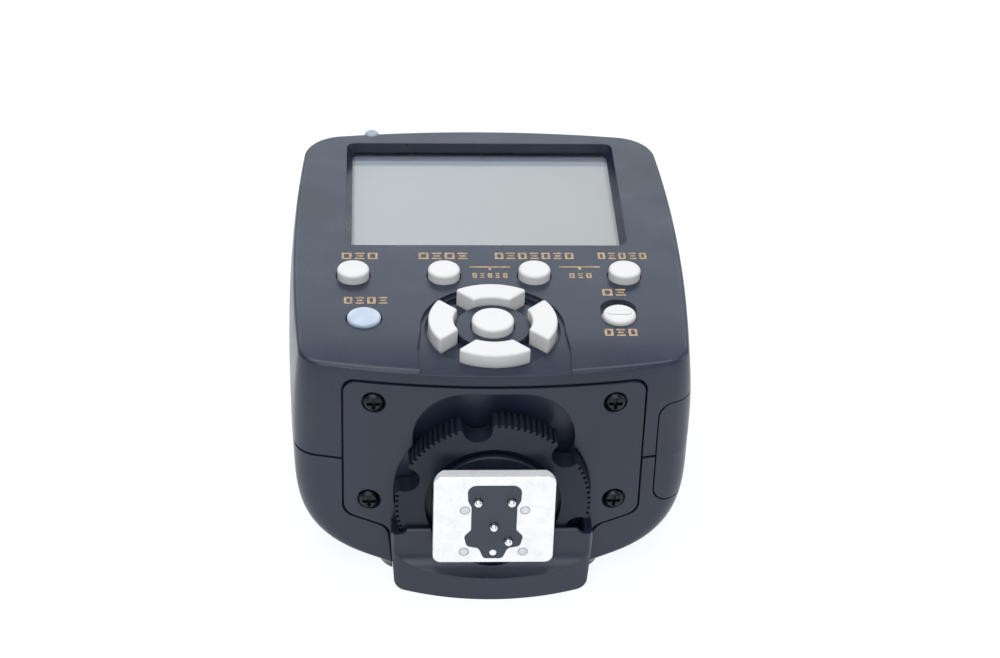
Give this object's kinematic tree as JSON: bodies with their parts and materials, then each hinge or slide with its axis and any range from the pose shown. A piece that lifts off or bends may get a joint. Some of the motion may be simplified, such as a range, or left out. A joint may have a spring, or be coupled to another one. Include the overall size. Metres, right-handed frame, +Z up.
{
  "type": "wireless flash trigger",
  "caption": "Handheld radio trigger for studio flashes: a boat-shaped case with display, keys and a four-way pad, and a shoe foot with lock wheel and sprung contacts at one end.",
  "frame": {"origin": "middle of the footprint, on the surface that the trigger lies on, control panel up", "axes": "+X to the right across the panel, +Y away from the shoe foot towards the display end, +Z up out of the panel"},
  "size_m": [0.0644, 0.0836, 0.0395],
  "materials": {
    "housing": "fine satin texture",
    "black_plastic": "satin",
    "wheel_plastic": "satin",
    "key_plastic": "smooth satin",
    "clear_plastic": "translucent, glossy",
    "window": "polished clear",
    "lcd": "grey liquid crystal",
    "diffuser": "white diffuser",
    "foot_metal": "bright nickel plate",
    "insert_plastic": "satin",
    "stem_metal": "machined",
    "screw_steel": "black oxide",
    "spring_steel": "bright wire",
    "contact_gold": "gold flash",
    "board_green": "solder resist",
    "component_black": "moulded epoxy",
    "shield_tin": "tinned",
    "keypad_rubber": "silicone",
    "cable_white": "flat cable",
    "cell_wrap": "printed wrap"
  },
  "bodies": {
    "case": {"upper_shell": "housing", "lower_shell": "housing", "foot_cover": "housing", "foot_cover_screws": "screw_steel", "case_screws": "screw_steel", "display_window": "window", "status_lens": "clear_plastic", "lcd_glass": "lcd", "lcd_backlight": "diffuser", "main_board": "board_green", "board_components": "component_black", "radio_module": "board_green", "radio_shield": "shield_tin", "antenna": "contact_gold", "keypad_membrane": "keypad_rubber", "power_switch": "component_black", "shoe_foot": "foot_metal", "foot_rivets": "stem_metal", "contact_insert": "insert_plastic", "foot_stem": "stem_metal", "stem_screws": "screw_steel", "contact_barrels": "contact_gold", "contact_springs": "spring_steel", "contact_board": "board_green", "ribbon_cable": "cable_white", "battery_tray": "black_plastic", "battery_1": "cell_wrap", "battery_2": "cell_wrap", "battery_spring": "spring_steel", "battery_plates": "spring_steel"},
    "button_1": {"button_1": "key_plastic"},
    "button_2": {"button_2": "key_plastic"},
    "button_3": {"button_3": "key_plastic"},
    "button_4": {"button_4": "key_plastic"},
    "test_button": {"test_button": "clear_plastic"},
    "pad_up": {"pad_up": "key_plastic"},
    "pad_down": {"pad_down": "key_plastic"},
    "pad_left": {"pad_left": "key_plastic"},
    "pad_right": {"pad_right": "key_plastic"},
    "pad_centre": {"pad_centre": "key_plastic"},
    "power_slider": {"power_slider": "key_plastic"},
    "lock_wheel": {"lock_wheel": "wheel_plastic"},
    "contact_pin_1": {"contact_pin_1": "contact_gold"},
    "contact_pin_2": {"contact_pin_2": "contact_gold"},
    "contact_pin_3": {"contact_pin_3": "contact_gold"},
    "contact_pin_4": {"contact_pin_4": "contact_gold"},
    "pressure_disc": {"pressure_disc": "wheel_plastic", "lock_pin": "foot_metal"},
    "door_slide": {"battery_door_pin": "spring_steel"},
    "battery_door": {"battery_door": "housing", "door_contact": "spring_steel", "door_spring": "spring_steel"}
  },
  "joints": [
    {"name": "button_1_press", "type": "slide", "parent": "case", "child": "button_1", "axis": [0, 0, -1], "range_m": [0, 0.0006], "stiffness_N_per_m": 450, "springref_m": -0.0004},
    {"name": "button_2_press", "type": "slide", "parent": "case", "child": "button_2", "axis": [0, 0, -1], "range_m": [0, 0.0006], "stiffness_N_per_m": 450, "springref_m": -0.0004},
    {"name": "button_3_press", "type": "slide", "parent": "case", "child": "button_3", "axis": [0, 0, -1], "range_m": [0, 0.0006], "stiffness_N_per_m": 450, "springref_m": -0.0004},
    {"name": "button_4_press", "type": "slide", "parent": "case", "child": "button_4", "axis": [0, 0, -1], "range_m": [0, 0.0006], "stiffness_N_per_m": 450, "springref_m": -0.0004},
    {"name": "test_button_press", "type": "slide", "parent": "case", "child": "test_button", "axis": [0, 0, -1], "range_m": [0, 0.0006], "stiffness_N_per_m": 450, "springref_m": -0.0004},
    {"name": "pad_up_press", "type": "slide", "parent": "case", "child": "pad_up", "axis": [0, 0, -1], "range_m": [0, 0.0006], "stiffness_N_per_m": 450, "springref_m": -0.0004},
    {"name": "pad_down_press", "type": "slide", "parent": "case", "child": "pad_down", "axis": [0, 0, -1], "range_m": [0, 0.0006], "stiffness_N_per_m": 450, "springref_m": -0.0004},
    {"name": "pad_left_press", "type": "slide", "parent": "case", "child": "pad_left", "axis": [0, 0, -1], "range_m": [0, 0.0006], "stiffness_N_per_m": 450, "springref_m": -0.0004},
    {"name": "pad_right_press", "type": "slide", "parent": "case", "child": "pad_right", "axis": [0, 0, -1], "range_m": [0, 0.0006], "stiffness_N_per_m": 450, "springref_m": -0.0004},
    {"name": "pad_centre_press", "type": "slide", "parent": "case", "child": "pad_centre", "axis": [0, 0, -1], "range_m": [0, 0.0006], "stiffness_N_per_m": 450, "springref_m": -0.0004},
    {"name": "power_slide", "type": "slide", "parent": "case", "child": "power_slider", "axis": [0, 1, 0], "range_m": [0, 0.002]},
    {"name": "lock_wheel_turn", "type": "hinge", "parent": "case", "child": "lock_wheel", "pos_m": [0, -0.03422, 0.0156], "axis": [0, -1, 0], "range_deg": [0, 324]},
    {"name": "pressure_disc_travel", "type": "slide", "parent": "case", "child": "pressure_disc", "axis": [0, -1, 0], "range_m": [0, 0.0009001]},
    {"name": "contact_pin_1_press", "type": "slide", "parent": "case", "child": "contact_pin_1", "axis": [0, 1, 0], "range_m": [0, 0.0008], "stiffness_N_per_m": 300, "springref_m": -0.0012},
    {"name": "contact_pin_2_press", "type": "slide", "parent": "case", "child": "contact_pin_2", "axis": [0, 1, 0], "range_m": [0, 0.0008], "stiffness_N_per_m": 300, "springref_m": -0.0012},
    {"name": "contact_pin_3_press", "type": "slide", "parent": "case", "child": "contact_pin_3", "axis": [0, 1, 0], "range_m": [0, 0.0008], "stiffness_N_per_m": 300, "springref_m": -0.0012},
    {"name": "contact_pin_4_press", "type": "slide", "parent": "case", "child": "contact_pin_4", "axis": [0, 1, 0], "range_m": [0, 0.0008], "stiffness_N_per_m": 300, "springref_m": -0.0012},
    {"name": "battery_door_slide", "type": "slide", "parent": "case", "child": "door_slide", "axis": [0, -1, 0], "range_m": [0, 0.003]},
    {"name": "battery_door_swing", "type": "hinge", "parent": "door_slide", "child": "battery_door", "pos_m": [0.031, 0.00478, 0.0215], "axis": [0, 0, 1], "range_deg": [0, 90]}
  ],
  "couplings": [
    {"joint": "pressure_disc_travel", "follows": "lock_wheel_turn", "m_per_rad": 0.00015915}
  ]
}
